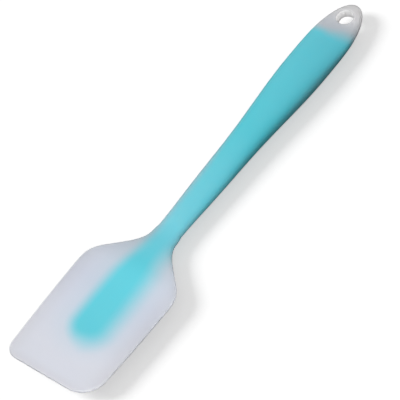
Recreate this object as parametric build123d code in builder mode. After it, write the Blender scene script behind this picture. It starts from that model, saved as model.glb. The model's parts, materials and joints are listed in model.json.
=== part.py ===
"""Kitchen spatula: a translucent silicone jacket moulded over a stiff nylon core.

The spatula lies flat. The blade's tip points to -X and the end of the handle to +X, +Y
runs across the blade and +Z is up. The origin is under the middle of the length, level
with the lowest point of the handle. All sizes are in millimetres and degrees.
"""

from build123d import *
import math
import os

# Outline of the jacket, seen from above
overall_length = 280.0
tip_width = 60.8
blade_width = 64.7
blade_length = 68.5
tight_corner_radius = 7.5
wide_corner_radius = 15.5
shoulder_radius = 18.0
shoulder_angle = 48.0
neck_radius = 22.0
neck_width = 15.7
shaft_width = 17.8
shaft_to_neck = 31.4
grip_width = 19.95
grip_to_end = 102.0
swell_width = 26.55
swell_to_end = 54.0
handle_width = 26.8
nose_length = 32.0

# Thickness of the jacket, seen from the side
tip_thickness = 2.4
neck_thickness = 7.2
swell_thickness = 13.4
lug_thickness = 8.4
lip_thickness = 1.5
lip_radius = 0.6

# Height of the blade's middle over the handle's
blade_lift = 2.0

# Hanging hole near the end of the handle
hole_diameter = 9.3
hole_to_end = 11.0
hole_rim_radius = 1.0

# Nylon core inside the jacket
cover = 1.1
tongue_width = 22.4
tongue_to_tip = 28.5
tongue_length = 53.0
tongue_corner_radius = 10.0
tongue_edge_radius = 0.4
core_to_end = 22.0
core_end_radius = 3.0
core_end_turn = 80.0

# How much of a section's side is flat, as a share of its thickness
handle_land_share = 0.12
tongue_land_share = 0.6

# Most that the tongue's edges are rounded, as a share of half the height of its front
tongue_round_share = 0.8

# Even steps between the sections of each form, and places on the nose's own curve
blade_steps = 18
tongue_steps = 12
handle_steps = 10
core_end_steps = 4
nose_shares = [0.2, 0.38, 0.54, 0.68, 0.8, 0.9, 0.96, 0.99]

# Rounds of halving that find a place on a curve
halvings = 30

# Middle of an edge, and the most that a level direction and a gentle slope climb
middle_share = 0.5
level_share = 0.01
gentle_share = 0.5


def reach(guide, distance):
    """Half size that a guide curve gives at a distance from the tip."""
    low, high = 0, 1
    for _ in range(halvings):
        share = (low + high) / 2
        if (guide @ share).X < distance:
            low = share
        else:
            high = share
    return (guide @ high).Y


def ease(start, end, share):
    """Value between two others that leaves and arrives level."""
    share = min(max(share, 0), 1)
    return start + (end - start) * share**2 * (3 - 2 * share)


def spread(start, end, steps):
    """Even places from start to end, both included."""
    return [start + (end - start) * step / steps for step in range(steps + 1)]


def mid_height(distance):
    """Height of a section's middle, which falls from the blade to the neck."""
    share = (distance - blade_length) / (neck_distance - blade_length)
    return swell_thickness / 2 + ease(blade_lift, 0, share)


def section(distance, half_width, half_height, half_land):
    """Crowned section across the spatula: an ellipse whose two sides are cut flat."""
    crown = half_width / math.sqrt(1 - (half_land / half_height) ** 2)
    with BuildSketch(Plane.YZ.offset(distance - overall_length / 2)) as face:
        with Locations((0, mid_height(distance))):
            Ellipse(crown, half_height)
            Rectangle(2 * half_width, 2 * half_height, mode=Mode.INTERSECT)
    return face.sketch


def front_corners(form):
    """Upright edges at the two corners of a form's front face, lower Y first."""
    edges = form.faces().sort_by(Axis.X)[0].edges().sort_by(Axis.Y)
    return edges[0], edges[-1]


def lips(form):
    """Long edges of a form's upright sides, without those of its rear face."""
    walls = form.faces().filter_by(lambda face: abs(face.normal_at().Z) < level_share)
    edges = ShapeList(edge for wall in walls.sort_by(Axis.X)[:-1] for edge in wall.edges())
    return edges.filter_by(lambda edge: abs((edge % middle_share).Z) < gentle_share)


# Half of the outline: blade side, shoulder, slope, neck, handle and nose
shoulder_turn = math.radians(shoulder_angle)
bends_drop = (shoulder_radius + neck_radius) * (1 - math.cos(shoulder_turn))
slope_length = ((blade_width - neck_width) / 2 - bends_drop) / math.sin(shoulder_turn)
side_rise = (blade_width - tip_width) / 2
side_radius = (blade_length**2 + side_rise**2) / (2 * side_rise)
with BuildLine() as outline:
    side = RadiusArc((0, tip_width / 2), (blade_length, blade_width / 2), side_radius)
    shoulder = JernArc(side @ 1, (1, 0), shoulder_radius, -shoulder_angle)
    slope = PolarLine(shoulder @ 1, slope_length, -shoulder_angle)
    neck = JernArc(slope @ 1, slope % 1, neck_radius, shoulder_angle)
    neck_distance = (neck @ 1).X
    handle = Spline(
        neck @ 1,
        (neck_distance + shaft_to_neck, shaft_width / 2),
        (overall_length - grip_to_end, grip_width / 2),
        (overall_length - swell_to_end, swell_width / 2),
        (overall_length - nose_length, handle_width / 2),
        tangents=[(1, 0), (1, 0)],
    )
    nose = EllipticalCenterArc(
        (overall_length - nose_length, 0),
        nose_length,
        handle_width / 2,
        arc_size=90,
    )
outline_curve = outline.wires()[0]
nose_distance = (handle @ 1).X

# Half of the thickness: blade, shaft, back of the handle and its end
with BuildLine() as profile:
    blade_rise = Spline(
        (0, tip_thickness / 2),
        (neck_distance, neck_thickness / 2),
        tangents=[(1, 0), (1, 0)],
    )
    shaft_rise = Spline(
        blade_rise @ 1,
        (overall_length - swell_to_end, swell_thickness / 2),
        tangents=[(1, 0), (1, 0)],
    )
    lug_fall = Spline(
        shaft_rise @ 1,
        (overall_length - hole_to_end, lug_thickness / 2),
        tangents=[(1, 0), (1, 0)],
    )
    EllipticalCenterArc(
        (overall_length - hole_to_end, 0),
        hole_to_end,
        lug_thickness / 2,
        arc_size=90,
    )
profile_curve = profile.wires()[0]


def jacket_section(distance):
    """Section of the jacket, whose lip fades along the second half of the blade."""
    half_height = reach(profile_curve, distance)
    handle_land = handle_land_share * half_height
    half_land = ease(lip_thickness / 2, handle_land, 2 * distance / neck_distance - 1)
    return section(distance, reach(outline_curve, distance), half_height, half_land)


def core_section(distance, inset=0):
    """Section of the core: the tongue, which narrows into the neck, or the handle."""
    tongue_end = tongue_to_tip + tongue_length
    share = (distance - tongue_end) / (neck_distance - tongue_end)
    handle_half_width = reach(outline_curve, max(distance, neck_distance)) - cover
    half_width = ease(tongue_width / 2, handle_half_width, share) - inset
    half_height = reach(profile_curve, distance) - cover - inset
    half_land = half_height * ease(tongue_land_share, handle_land_share, share)
    return section(distance, half_width, half_height, half_land)


# Core: the body in the handle, its rounded rear end, and the tongue in the blade
core_end = overall_length - core_to_end - core_end_radius
with BuildPart() as core_body:
    loft([core_section(place) for place in spread(neck_distance, core_end, handle_steps)])

core_end_sections = []
for angle in spread(0, math.radians(core_end_turn), core_end_steps):
    place = core_end + core_end_radius * math.sin(angle)
    core_end_sections.append(core_section(place, core_end_radius * (1 - math.cos(angle))))
with BuildPart() as core_rear:
    loft(core_end_sections)

with BuildPart() as nylon_core:
    loft([core_section(place) for place in spread(tongue_to_tip, neck_distance, tongue_steps)])
    fillet(front_corners(nylon_core)[0], tongue_corner_radius)
    fillet(front_corners(nylon_core)[1], tongue_corner_radius)
    front_half_height = reach(profile_curve, tongue_to_tip) - cover
    fillet(lips(nylon_core), min(tongue_edge_radius, tongue_round_share * front_half_height))
    add(core_body.part)
    add(core_rear.part)
nylon_core.part.label = "nylon_core"

# Jacket: the blade with its lip, then the handle, the hole and the room for the core
handle_places = spread(neck_distance, nose_distance, handle_steps)
handle_places += [(nose @ (1 - share)).X for share in nose_shares]
with BuildPart() as jacket_handle:
    loft([jacket_section(place) for place in handle_places])

with BuildPart() as silicone_jacket:
    loft([jacket_section(place) for place in spread(0, neck_distance, blade_steps)])
    fillet(front_corners(silicone_jacket)[0], wide_corner_radius)
    fillet(front_corners(silicone_jacket)[1], tight_corner_radius)
    fillet(lips(silicone_jacket), lip_radius)
    add(jacket_handle.part)
    with Locations((overall_length / 2 - hole_to_end, 0, swell_thickness / 2)):
        Hole(hole_diameter / 2, swell_thickness)
    bore = silicone_jacket.faces().filter_by(GeomType.CYLINDER).sort_by(Axis.X)[-1]
    fillet(bore.edges().filter_by(GeomType.LINE, reverse=True), hole_rim_radius)
    add(nylon_core.part, mode=Mode.SUBTRACT)
silicone_jacket.part.label = "silicone_jacket"

os.makedirs("parts", exist_ok=True)
export_step(nylon_core.part, "parts/nylon_core.step")
export_step(silicone_jacket.part, "parts/silicone_jacket.step")
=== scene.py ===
"""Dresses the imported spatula: frosted silicone moulded over a turquoise core, on a studio floor.

The frame's axes hold here too: the blade's tip points to -X, +Y runs across and +Z is up.
Left is the side of +Y, and right is the side of -Y.
"""

import json
import math

import bmesh
import bpy
from bpy.props import FloatProperty, FloatVectorProperty, PointerProperty
from mathutils import Matrix, Vector


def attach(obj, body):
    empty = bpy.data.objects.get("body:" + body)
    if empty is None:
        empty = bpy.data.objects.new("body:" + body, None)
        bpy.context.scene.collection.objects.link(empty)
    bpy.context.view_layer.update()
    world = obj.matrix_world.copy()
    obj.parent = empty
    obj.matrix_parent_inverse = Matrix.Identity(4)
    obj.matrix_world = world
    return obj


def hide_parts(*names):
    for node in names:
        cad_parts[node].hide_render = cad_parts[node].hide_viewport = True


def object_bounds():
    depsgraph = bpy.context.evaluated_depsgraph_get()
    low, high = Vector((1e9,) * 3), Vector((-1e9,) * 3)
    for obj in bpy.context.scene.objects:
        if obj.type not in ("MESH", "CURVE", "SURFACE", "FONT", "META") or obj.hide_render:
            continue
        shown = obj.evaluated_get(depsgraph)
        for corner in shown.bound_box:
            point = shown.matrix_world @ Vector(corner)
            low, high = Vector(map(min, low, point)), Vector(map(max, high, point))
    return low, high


bl_info = {
    "name": "Silicone Spatula",
    "version": (1, 0, 0),
    "blender": (4, 5, 0),
    "location": "View3D > Sidebar > Spatula",
    "description": "Dresses a packed kitchen spatula and lights it",
    "category": "Object",
}

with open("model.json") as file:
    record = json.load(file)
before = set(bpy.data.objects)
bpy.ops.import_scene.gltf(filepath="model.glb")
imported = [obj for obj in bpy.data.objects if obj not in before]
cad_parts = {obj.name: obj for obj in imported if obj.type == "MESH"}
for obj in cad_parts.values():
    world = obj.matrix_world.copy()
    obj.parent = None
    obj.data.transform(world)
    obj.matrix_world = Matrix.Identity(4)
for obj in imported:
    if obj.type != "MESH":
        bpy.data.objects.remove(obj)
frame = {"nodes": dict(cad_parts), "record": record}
cad_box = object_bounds()
mm = 0.001

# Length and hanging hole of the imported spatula
half_length = -cad_box[0].x
hang_hole = frame["record"]["mounts"][0]
hole_place = (hang_hole["pos_m"][0], 0, 0)
hole_radius = hang_hole["dims"]["r_mm"] * mm

# Places of the silicone's and the core's colours, as shares of the length
silicone_shares = (0.06, 0.22, 0.36, 0.93, 0.985)
core_shares = (0.3, 0.4, 0.65, 0.9)

# Rim of the blade, darkened with painted shade: across from the middle, and before the tip
rim_start = 20 * mm
rim_full = 33 * mm
rim_before_tip = 7 * mm
rim_shade_tint = (0.95, 0.935, 0.92, 1)

# Sides of the core's outline as it shows from above: shares of the length and of one unit
side_unit = 20 * mm
left_side_shares = (
    (0.0, 0.47),
    (0.245, 0.465),
    (0.282, 0.405),
    (0.325, 0.31),
    (0.36, 0.285),
    (0.4, 0.32),
    (0.47, 0.35),
    (0.54, 0.38),
    (0.6, 0.46),
    (0.7, 0.6),
    (0.8, 0.73),
    (1.0, 0.73),
)
right_side_shares = (
    (0.0, 0.68),
    (0.245, 0.69),
    (0.282, 0.635),
    (0.325, 0.515),
    (0.36, 0.55),
    (0.42, 0.65),
    (0.5, 0.8),
    (1.0, 0.85),
)

# Ends of that outline, whose rear slants back on the right, and the radii of its corners
core_front = -113.3 * mm
core_rear = 115.9 * mm
rear_slant_share = 0.28
front_corner_radius = 11 * mm
rear_corner_radius = 3 * mm
corner_change = 20 * mm

# Glow of the core round its outline: wider on the right side, where the extra spread is a painted
# cast of the core's colour by light from the left, and narrower at the rear
glow_right = -6 * mm
glow_left = 4 * mm
painted_cast_right_share = 1.7
glow_rear_start = 80 * mm
glow_rear_full = 110 * mm
glow_rear_share = 0.72

# Sharp and faint parts of that glow, and how far the faint part goes out and in
sharp_glow_share = 0.9
faint_glow_outside = 16 * mm
faint_glow_inside = 2 * mm

# Wall of the hanging hole, measured out from the hole's radius. Its near-white colour and its glow
# are painted light, standing in for light that comes through the silicone
wall_start = 0.45 * mm
wall_full = 0.01 * mm
painted_pale_wall_color = (0.95, 0.95, 0.95, 1)
painted_wall_glow_color = (1.0, 0.98, 0.99, 1)
painted_wall_glow = 0.18

# Light scattered in the silicone: deeper in the solid end, shallower over the core
scatter_share = 0.9
scatter_radii = (1.0, 1.0, 1.0)
blade_depth = 5 * mm
end_depth = 13 * mm
depth_start = 100 * mm
depth_full = 124 * mm
core_depth_share = 0.15

# Thin grey coat over the handle, painted shade that darkens it towards its outline
shade_coat_start = -65 * mm
shade_coat_full = -40 * mm
shade_coat_fall_start = 110 * mm
shade_coat_fall_end = 125 * mm
shade_coat_end_share = 0.5
shade_coat_roughness = 0.5
shade_coat_ior = 1.02
painted_shade_coat_tint = (0.87, 0.87, 0.87, 1)

# Gloss and fine grain of the silicone and the nylon: a scale is about the grains in a metre
silicone_ior = 1.41
silicone_gloss = 0.3
silicone_grain = {"Scale": 2600.0, "Detail": 3.0}
silicone_grain_strength = 0.12
gloss_cloud = {"Scale": 90.0, "Detail": 2.0}
gloss_change = 0.06
nylon_grain = {"Scale": 1400.0, "Detail": 2.0}
nylon_grain_strength = 0.2
nylon_deep_share = 0.96
grain_height = 0.1 * mm

# Crown of the handle's sections in the shading: where it starts, and width over thickness
ellipse_power = 2
crown_start = -50 * mm
crown_full = -20 * mm
section_flatness = 2.0

# A normal with less than this to the side or upwards stays as it is
least_side = 1e-6
least_rise_share = 1e-3

# Vertices closer than this are one
weld_distance = 1e-7

# Floor, in metres
floor_half_size = 6.0
floor_color = (0.9, 0.9, 0.9, 1)
white = (1, 1, 1, 1)

# Soft square lights on the spatula: sizes in metres, beams in degrees
middle = (0, 0, 0)
open_beam = 180
soft_lights = {
    "key": {"place": (-0.05, 0.47, 1.31), "size": 1.1},
    "blade_fill": {
        "place": (-0.31, -0.21, 0.035),
        "target": (-0.1, -0.01, 0.008),
        "size": 0.08,
        "beam": 34,
    },
    "neck_fill": {
        "place": (0.0, -0.25, 0.06),
        "target": (-0.06, -0.018, 0.008),
        "size": 0.03,
        "beam": 15,
    },
    "nose_fill": {
        "place": (0.16, -0.2, 0.1),
        "target": (0.138, -0.004, 0.006),
        "size": 0.02,
        "beam": 8,
    },
}

# Light that throws the shadow: where it comes from, and its width in degrees
shadow_place = (-0.565, 1.21, 0.9)
shadow_width = 30

# Digits that a light's strength is shown with
strength_digits = 4

# Camera: sensor and lens in millimetres, and where the picture's right and down point
sensor_width = 36
lens_length = 451.54
farthest_seen = 20
camera_place = (-0.88080, -1.35863, 2.22789)
picture_right = (0.60737, -0.76154, -0.22619)
picture_down = (-0.72787, -0.41938, -0.54252)


def linear(red, green, blue):
    """Linear colour of a screen colour given as three numbers from 0 to 255."""
    def channel(value):
        share = value / 255
        return share / 12.92 if share <= 0.04045 else ((share + 0.055) / 1.055) ** 2.4

    return channel(red), channel(green), channel(blue)


class Graph:
    """Short way to add and join the nodes of a material or a world."""

    # Places of the colour sockets of a Mix node, whose names repeat
    mix_first = 6
    mix_second = 7
    mix_result = 2

    def __init__(self, owner):
        owner.use_nodes = True
        self.tree = owner.node_tree
        self.tree.nodes.clear()

    def node(self, kind, settings=None, **inputs):
        """Adds a node. A socket's name has underscores for spaces, or in0, in1 for its place."""
        made = self.tree.nodes.new("ShaderNode" + kind)
        for name, value in (settings or {}).items():
            setattr(made, name, value)
        for name, value in inputs.items():
            place = name[2:]
            by_place = name.startswith("in") and place.isdigit()
            key = int(place) if by_place else name.replace("_", " ")
            self.set(made.inputs[key], value)
        return made

    def set(self, socket, value):
        """Joins a socket to another one, or gives it a value."""
        if isinstance(value, bpy.types.NodeSocket):
            self.tree.links.new(value, socket)
        else:
            socket.default_value = value

    def math(self, operation, *values):
        """Output of a math node."""
        made = self.node("Math", {"operation": operation})
        for place, value in enumerate(values):
            self.set(made.inputs[place], value)
        return made.outputs[0]

    def span(self, value, start, end, low=0.0, high=1.0, smooth=False):
        """Goes from low at start to high at end and stays there."""
        made = self.node(
            "MapRange",
            {"interpolation_type": "SMOOTHSTEP" if smooth else "LINEAR"},
            Value=value,
            From_Min=start,
            From_Max=end,
            To_Min=low,
            To_Max=high,
        )
        return made.outputs["Result"]

    def ramp(self, value, places, colors):
        """Colour that follows a value from 0 to 1 through colours at places."""
        made = self.node("ValToRGB", Fac=value)
        elements = made.color_ramp.elements
        while len(elements) < len(places):
            elements.new(1.0)
        for element, place, color in zip(elements, places, colors):
            element.position = place
            element.color = (*color, 1)
        return made.outputs["Color"]

    def curve(self, value, points):
        """Number that follows a value from 0 to 1 through points."""
        made = self.node("FloatCurve", Value=value)
        curve = made.mapping.curves[0]
        for point, place in zip(curve.points, points[:2]):
            point.location = place
        for place in points[2:]:
            curve.points.new(*place)
        made.mapping.update()
        return made.outputs[0]

    def mix(self, share, first, second, blend="MIX"):
        """Colour between two others."""
        made = self.node("Mix", {"data_type": "RGBA", "blend_type": blend}, Factor=share)
        self.set(made.inputs[self.mix_first], first)
        self.set(made.inputs[self.mix_second], second)
        return made.outputs[self.mix_result]

    def bump(self, grain, strength):
        """Normal roughened by a noise node."""
        made = self.node(
            "Bump", Strength=strength, Distance=grain_height, Height=grain.outputs["Fac"]
        )
        return made.outputs["Normal"]

    def output(self, kind, surface):
        """Joins the surface to the output."""
        self.node("Output" + kind, Surface=surface)


def color_property(name, description, color):
    """Setting that is a colour."""
    return FloatVectorProperty(
        name=name, description=description, default=color, size=3, subtype="COLOR", min=0, max=1
    )


def length_property(name, description, length):
    """Setting that is a length."""
    return FloatProperty(
        name=name, description=description, default=length, subtype="DISTANCE", unit="LENGTH"
    )


def share_property(name, description, share):
    """Setting from 0 to 1."""
    return FloatProperty(
        name=name, description=description, default=share, subtype="FACTOR", min=0, max=1
    )


def strength_property(name, description, strength, unit="NONE"):
    """Setting that is the strength of a light, shown with enough digits for a small one."""
    return FloatProperty(
        name=name,
        description=description,
        default=strength,
        min=0,
        precision=strength_digits,
        unit=unit,
    )


class SpatulaJacketSettings(bpy.types.PropertyGroup):
    """Colours and surface of the silicone"""

    thin_color: color_property(
        "Thin silicone", "Colour of the blade near its tip", linear(220, 223, 235)
    )
    blade_color: color_property(
        "Blade", "Colour of the blade at its widest", linear(205, 210, 223)
    )
    thick_color: color_property(
        "Thick silicone", "Colour of the silicone near the neck", linear(201, 207, 216)
    )
    end_color: color_property(
        "Handle end", "Colour of the solid silicone next to the core", linear(200, 200, 207)
    )
    nose_color: color_property(
        "Nose", "Colour of the silicone round the hole", linear(206, 205, 206)
    )
    tongue_color: color_property(
        "Tongue", "Colour of the core seen through the blade", linear(95, 208, 222)
    )
    neck_color: color_property(
        "Neck", "Colour of the core seen through the neck", linear(133, 229, 245)
    )
    handle_color: color_property(
        "Handle", "Colour of the core seen through the handle's jacket", linear(98, 222, 236)
    )
    rear_color: color_property(
        "Rear", "Colour of the core seen near its rear end", linear(109, 218, 233)
    )
    glow: length_property(
        "Glow", "How far the core's colour spreads in the silicone", 5 * mm
    )
    roughness: share_property("Roughness", "Roughness of the silicone", 0.5)
    crown: FloatProperty(
        name="Crown",
        description="Power of the handle's sections: 2 shades them as ellipses, more as squarer ones",
        default=2.6,
        min=ellipse_power,
    )


class SpatulaCoreSettings(bpy.types.PropertyGroup):
    """Colour and surface of the nylon"""

    color: color_property("Nylon", "Colour of the core itself", linear(92, 200, 215))
    roughness: share_property("Roughness", "Roughness of the nylon", 0.45)


class SpatulaStageSettings(bpy.types.PropertyGroup):
    """Strengths of the lights and of the floor"""

    key_power: strength_property(
        "Key light", "Power of the large soft light over the spatula", 16.6, "POWER"
    )
    fill_power: strength_property(
        "Fill light", "Power of the small low light beside the blade", 0.023, "POWER"
    )
    neck_power: strength_property(
        "Neck light", "Power of the small low light beside the neck", 0.0026, "POWER"
    )
    nose_power: strength_property(
        "Nose light", "Power of the small light on the handle's end", 0.0008, "POWER"
    )
    shadow_power: strength_property(
        "Shadow light", "Strength of the light that throws the shadow", 2.03
    )
    ambient: strength_property("Ambient", "Strength of the light from all round", 0.22)
    floor_glow: strength_property(
        "Floor glow", "Strength of the floor's own light to the camera", 0.535
    )
    floor_bounce: share_property(
        "Floor bounce", "Share of the light that the floor throws back", 0.3
    )


def silicone_color(graph, settings, length_share, along, across):
    """Bare silicone: whiter where it is thin, and darkened with painted shade at the blade's rim."""
    bare = graph.ramp(
        length_share,
        silicone_shares,
        (
            settings.thin_color,
            settings.blade_color,
            settings.thick_color,
            settings.end_color,
            settings.nose_color,
        ),
    )
    # Painted shade along the blade's rim and before its tip
    side = graph.span(graph.math("ABSOLUTE", across), rim_start, rim_full, smooth=True)
    tip = graph.span(along, rim_before_tip - half_length, -half_length, smooth=True)
    return graph.mix(graph.math("MAXIMUM", side, tip), bare, rim_shade_tint, "MULTIPLY")


def core_color(graph, settings, length_share):
    """Core as it shows: lighter in the blade and the neck than in the handle."""
    return graph.ramp(
        length_share,
        core_shares,
        (
            settings.tongue_color,
            settings.neck_color,
            settings.handle_color,
            settings.rear_color,
        ),
    )


def core_distance(graph, length_share, along, across):
    """Distance to the core's outline as it shows from above, below zero inside it."""
    left = graph.math("MULTIPLY", graph.curve(length_share, left_side_shares), side_unit)
    right = graph.math("MULTIPLY", graph.curve(length_share, right_side_shares), side_unit)
    mirrored = graph.math("MULTIPLY", across, -1.0)
    past_side = graph.math(
        "MAXIMUM",
        graph.math("SUBTRACT", across, left),
        graph.math("SUBTRACT", mirrored, right),
    )
    slant = graph.math("MULTIPLY", graph.math("MINIMUM", across, 0.0), rear_slant_share)
    past_end = graph.math(
        "MAXIMUM",
        graph.math("SUBTRACT", core_front, along),
        graph.math("SUBTRACT", graph.math("ADD", along, slant), core_rear),
    )
    corner = graph.span(
        along, -corner_change, corner_change, front_corner_radius, rear_corner_radius
    )
    past_side = graph.math("ADD", past_side, corner)
    past_end = graph.math("ADD", past_end, corner)
    outside = graph.node(
        "CombineXYZ",
        X=graph.math("MAXIMUM", past_end, 0.0),
        Y=graph.math("MAXIMUM", past_side, 0.0),
    ).outputs[0]
    length = graph.node("VectorMath", {"operation": "LENGTH"}, in0=outside).outputs["Value"]
    inside = graph.math("MINIMUM", graph.math("MAXIMUM", past_end, past_side), 0.0)
    return graph.math("SUBTRACT", graph.math("ADD", length, inside), corner)


def core_glow(graph, settings, distance, along, across):
    """Share of the core's colour that shows: a sharp part at its outline and a faint wide one, spread
    wider on the right as painted light from the left.
    """
    # The wider spread on the right side is painted light: the core's colour cast by light from the
    # left
    spread = graph.math(
        "MULTIPLY",
        graph.span(
            across, glow_right, glow_left, painted_cast_right_share * settings.glow, settings.glow
        ),
        graph.span(along, glow_rear_start, glow_rear_full, 1.0, glow_rear_share),
    )
    sharp = graph.span(graph.math("DIVIDE", distance, spread), 1.0, -1.0, smooth=True)
    faint = graph.span(distance, faint_glow_outside, -faint_glow_inside, smooth=True)
    return graph.math(
        "ADD",
        graph.math("MULTIPLY", sharp, sharp_glow_share),
        graph.math("MULTIPLY", faint, 1 - sharp_glow_share),
    )


def painted_light_wall_mask(graph, along, across):
    """1 on the wall of the hanging hole, where light is painted, and 0 away from it."""
    level = graph.node("CombineXYZ", X=along, Y=across).outputs[0]
    distance = graph.node(
        "VectorMath", {"operation": "DISTANCE"}, in0=level, in1=hole_place
    ).outputs["Value"]
    return graph.span(distance, hole_radius + wall_start, hole_radius + wall_full, smooth=True)


def silicone_material(settings):
    """Frosted silicone, tinted where the core lies close under it, with painted light on the hole's
    wall and painted shade at the blade's rim and the handle's outline.
    """
    material = bpy.data.materials.new("frosted_silicone")
    graph = Graph(material)
    place = graph.node("TexCoord").outputs["Object"]
    axes = graph.node("SeparateXYZ", Vector=place)
    along, across = axes.outputs["X"], axes.outputs["Y"]
    length_share = graph.span(along, -half_length, half_length)

    bare = silicone_color(graph, settings, length_share, along, across)
    core = core_color(graph, settings, length_share)
    distance = core_distance(graph, length_share, along, across)
    tint = core_glow(graph, settings, distance, along, across)
    # Painted light: the hole's wall is made near white here, and glowing in the shader
    wall = painted_light_wall_mask(graph, along, across)
    color = graph.mix(wall, graph.mix(tint, bare, core), painted_pale_wall_color)

    # Gloss that changes a little from place to place
    cloud = graph.node("TexNoise", Vector=place, **gloss_cloud)
    roughness = graph.span(
        cloud.outputs["Fac"],
        0.0,
        1.0,
        settings.roughness - gloss_change,
        settings.roughness + gloss_change,
    )
    depth = graph.span(along, depth_start, depth_full, blade_depth, end_depth)
    # Painted shade: the grey coat darkens the handle towards its outline
    shade_coat = graph.math(
        "MINIMUM",
        graph.span(along, shade_coat_start, shade_coat_full),
        graph.span(along, shade_coat_fall_start, shade_coat_fall_end, 1.0, shade_coat_end_share),
    )
    shader = graph.node(
        "BsdfPrincipled",
        Base_Color=color,
        Roughness=roughness,
        Normal=graph.bump(
            graph.node("TexNoise", Vector=place, **silicone_grain), silicone_grain_strength
        ),
        IOR=silicone_ior,
        Subsurface_Weight=scatter_share,
        Subsurface_Radius=scatter_radii,
        Subsurface_Scale=graph.math(
            "MULTIPLY", depth, graph.span(tint, 0.0, 1.0, 1.0, core_depth_share)
        ),
        Specular_IOR_Level=silicone_gloss,
        Coat_Weight=shade_coat,
        Coat_Roughness=shade_coat_roughness,
        Coat_IOR=shade_coat_ior,
        Coat_Tint=painted_shade_coat_tint,
        # Painted light: the glow of the hole's wall, which is no lamp
        Emission_Color=painted_wall_glow_color,
        Emission_Strength=graph.math("MULTIPLY", wall, painted_wall_glow),
    )
    graph.output("Material", shader.outputs["BSDF"])
    return material


def nylon_material(settings):
    """Satin moulded nylon."""
    material = bpy.data.materials.new("satin_nylon")
    graph = Graph(material)
    place = graph.node("TexCoord").outputs["Object"]
    grain = graph.node("TexNoise", Vector=place, **nylon_grain)
    pale = (*settings.color, 1)
    deep = (*(nylon_deep_share * part for part in settings.color), 1)
    shader = graph.node(
        "BsdfPrincipled",
        Base_Color=graph.mix(grain.outputs["Fac"], deep, pale),
        Roughness=settings.roughness,
        Normal=graph.bump(grain, nylon_grain_strength),
    )
    graph.output("Material", shader.outputs["BSDF"])
    return material


def seen_rays(graph):
    """1 for what the camera, a reflection or a clear body sees, and 0 for scattered light."""
    path = graph.node("LightPath")
    passed = graph.math(
        "MAXIMUM", path.outputs["Is Glossy Ray"], path.outputs["Is Transmission Ray"]
    )
    return graph.math("MAXIMUM", path.outputs["Is Camera Ray"], passed)


def floor_material(glow, bounce):
    """White to the camera and to reflections, and dimmer to the light that bounces off it."""
    material = bpy.data.materials.new("white_floor")
    graph = Graph(material)
    lit = graph.node("BsdfDiffuse", Color=floor_color)
    light = graph.node("Emission", Color=white, Strength=glow)
    bright = graph.node("AddShader", in0=lit.outputs[0], in1=light.outputs[0])
    dim = graph.node("BsdfDiffuse", Color=(bounce, bounce, bounce, 1))
    mixed = graph.node(
        "MixShader", in0=seen_rays(graph), in1=dim.outputs[0], in2=bright.outputs[0]
    )
    graph.output("Material", mixed.outputs[0])
    return material


def crowned(normal, power):
    """Normal of a squarer section at the place where an ellipse has the given normal."""
    x, y, z = normal
    level = math.hypot(y, z)
    if abs(y) < least_side or abs(z) < least_rise_share * level:
        return normal
    slope = section_flatness * abs(y / z)
    share = slope / math.sqrt(1 + slope**2)
    height = (1 - share**power) ** (1 / power)
    slope = (share / height) ** (power - 1) / section_flatness
    upright = level / math.sqrt(1 + slope**2)
    return x, math.copysign(slope * upright, y), math.copysign(upright, z)


def section_power(along, power):
    """Power of the section at a place: an ellipse's in the blade, and the given one behind."""
    share = (along - crown_start) / (crown_full - crown_start)
    share = min(max(share, 0), 1)
    return ellipse_power + (power - ellipse_power) * share


def outer_skin(node, power):
    """Mesh of a solid's outer skin, without the room inside it, shaded with crowned sections."""
    source = node.data.copy()
    normals = source.attributes.new("exact_normal", "FLOAT_VECTOR", "CORNER")
    for item, corner in zip(normals.data, source.corner_normals):
        item.vector = corner.vector
    form = bmesh.new()
    form.from_mesh(source)
    bmesh.ops.remove_doubles(form, verts=form.verts, dist=weld_distance)
    skin = max(shells(form), key=shell_length)
    inner = [vertex for vertex in form.verts if vertex not in skin]
    bmesh.ops.delete(form, geom=inner, context="VERTS")
    mesh = bpy.data.meshes.new(node.name + "_skin")
    form.to_mesh(mesh)
    form.free()
    exact = mesh.attributes["exact_normal"]
    vectors = []
    for item, loop in zip(exact.data, mesh.loops):
        along = mesh.vertices[loop.vertex_index].co.x
        vectors.append(crowned(tuple(item.vector), section_power(along, power)))
    mesh.attributes.remove(exact)
    mesh.normals_split_custom_set(vectors)
    bpy.data.meshes.remove(source)
    return mesh


def shells(form):
    """Sets of joined vertices."""
    left = set(form.verts)
    found = []
    while left:
        shell = set()
        edge = [left.pop()]
        while edge:
            vertex = edge.pop()
            shell.add(vertex)
            joined = {link.other_vert(vertex) for link in vertex.link_edges} & left
            left -= joined
            edge.extend(joined)
        found.append(shell)
    return found


def shell_length(shell):
    """Length of a set of vertices along the spatula."""
    places = [vertex.co.x for vertex in shell]
    return max(places) - min(places)


class SPATULA_OT_jacket(bpy.types.Operator):
    """Dresses the silicone jacket"""

    bl_idname = "spatula.jacket"
    bl_label = "Silicone jacket"

    def execute(self, context):
        settings = context.scene.spatula_jacket
        mesh = outer_skin(frame["nodes"]["silicone_jacket"], settings.crown)
        mesh.materials.clear()
        mesh.materials.append(silicone_material(settings))
        skin = bpy.data.objects.new("silicone_skin", mesh)
        context.scene.collection.objects.link(skin)
        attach(skin, "root")
        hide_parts("silicone_jacket")
        return {"FINISHED"}


class SPATULA_OT_core(bpy.types.Operator):
    """Dresses the nylon core"""

    bl_idname = "spatula.core"
    bl_label = "Nylon core"

    def execute(self, context):
        node = frame["nodes"]["nylon_core"]
        node.material_slots[0].material = nylon_material(context.scene.spatula_core)
        return {"FINISHED"}


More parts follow.
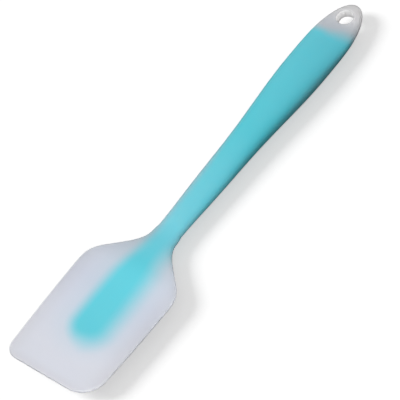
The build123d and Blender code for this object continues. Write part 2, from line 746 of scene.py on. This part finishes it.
def add_floor(scene, settings):
    """White floor under the spatula."""
    size = floor_half_size
    corners = [(-size, -size, 0), (size, -size, 0), (size, size, 0), (-size, size, 0)]
    mesh = bpy.data.meshes.new("floor")
    mesh.from_pydata(corners, [], [range(len(corners))])
    mesh.materials.append(floor_material(settings.floor_glow, settings.floor_bounce))
    floor = bpy.data.objects.new("floor", mesh)
    scene.collection.objects.link(floor)
    return floor


def add_world(scene, ambient):
    """White to the camera and to reflections, and dimmer to scattered light."""
    world = bpy.data.worlds.new("studio")
    sky = Graph(world)
    strength = sky.span(seen_rays(sky), 0.0, 1.0, ambient, 1.0)
    background = sky.node("Background", Color=white, Strength=strength)
    sky.output("World", background.outputs[0])
    scene.world = world


def aim(data, place, target, receivers):
    """Adds a light at a place that points to a target and lights some of the objects."""
    light = bpy.data.objects.new(data.name, data)
    light.location = place
    light.rotation_euler = (Vector(target) - Vector(place)).to_track_quat("-Z", "Y").to_euler()
    light.visible_camera = False
    light.light_linking.receiver_collection = receivers
    bpy.context.scene.collection.objects.link(light)


def add_soft_light(name, power, receivers, place, size, target=middle, beam=open_beam):
    """Square soft light that points to a target."""
    data = bpy.data.lights.new(name, "AREA")
    data.shape = "SQUARE"
    data.size = size
    data.energy = power
    data.spread = math.radians(beam)
    aim(data, place, target, receivers)


def add_even_light(name, power, receivers, place, width):
    """Light from far away, which comes from the side of a place and is as strong everywhere."""
    data = bpy.data.lights.new(name, "SUN")
    data.angle = math.radians(width)
    data.energy = power
    aim(data, place, middle, receivers)


def collected(name, objects):
    """Collection of the objects that a light falls on."""
    collection = bpy.data.collections.new(name)
    for item in objects:
        collection.objects.link(item)
    return collection


def add_lights(settings, floor):
    """Lights for the spatula alone, and one for the floor that throws the shadow."""
    spatula = [bpy.data.objects[name] for name in ("silicone_skin", "nylon_core")]
    pieces = collected("pieces", spatula)
    ground = collected("ground", [floor])
    for name, power in (
        ("key", settings.key_power),
        ("blade_fill", settings.fill_power),
        ("neck_fill", settings.neck_power),
        ("nose_fill", settings.nose_power),
    ):
        add_soft_light(name, power, pieces, **soft_lights[name])
    add_even_light("shadow", settings.shadow_power, ground, shadow_place, shadow_width)


def add_camera(scene):
    """Camera that looks at the spatula as the photograph does."""
    data = bpy.data.cameras.new("camera")
    data.sensor_width = sensor_width
    data.lens = lens_length
    data.clip_end = farthest_seen
    camera = bpy.data.objects.new("camera", data)
    right = Vector(picture_right).normalized()
    up = -Vector(picture_down).normalized()
    rotation = Matrix((right, up, right.cross(up))).transposed().to_4x4()
    camera.matrix_world = Matrix.Translation(Vector(camera_place)) @ rotation
    scene.collection.objects.link(camera)
    scene.camera = camera


class SPATULA_OT_stage(bpy.types.Operator):
    """Adds the floor, the lights and the camera"""

    bl_idname = "spatula.stage"
    bl_label = "Stage"

    def execute(self, context):
        scene = context.scene
        settings = scene.spatula_stage
        floor = add_floor(scene, settings)
        add_world(scene, settings.ambient)
        add_lights(settings, floor)
        add_camera(scene)
        scene.view_settings.view_transform = "Standard"
        return {"FINISHED"}


class SPATULA_PT_sidebar(bpy.types.Panel):
    """Lists the spatula's pieces and their settings"""

    bl_idname = "SPATULA_PT_sidebar"
    bl_label = "Spatula"
    bl_space_type = "VIEW_3D"
    bl_region_type = "UI"
    bl_category = "Spatula"

    def draw(self, context):
        scene = context.scene
        for operator, settings in (
            (SPATULA_OT_jacket, scene.spatula_jacket),
            (SPATULA_OT_core, scene.spatula_core),
            (SPATULA_OT_stage, scene.spatula_stage),
        ):
            box = self.layout.box()
            box.operator(operator.bl_idname)
            for name in settings.__annotations__:
                box.prop(settings, name)


classes = (
    SpatulaJacketSettings,
    SpatulaCoreSettings,
    SpatulaStageSettings,
    SPATULA_OT_jacket,
    SPATULA_OT_core,
    SPATULA_OT_stage,
    SPATULA_PT_sidebar,
)


def register():
    """Registers the classes and gives the scene its settings."""
    for item in classes:
        bpy.utils.register_class(item)
    bpy.types.Scene.spatula_jacket = PointerProperty(type=SpatulaJacketSettings)
    bpy.types.Scene.spatula_core = PointerProperty(type=SpatulaCoreSettings)
    bpy.types.Scene.spatula_stage = PointerProperty(type=SpatulaStageSettings)


def unregister():
    """Takes the settings and the classes away again."""
    del bpy.types.Scene.spatula_stage
    del bpy.types.Scene.spatula_core
    del bpy.types.Scene.spatula_jacket
    for item in reversed(classes):
        bpy.utils.unregister_class(item)


def main():
    """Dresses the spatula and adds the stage."""
    register()
    bpy.ops.spatula.jacket()
    bpy.ops.spatula.core()
    bpy.ops.spatula.stage()


if __name__ == "__main__":
    main()
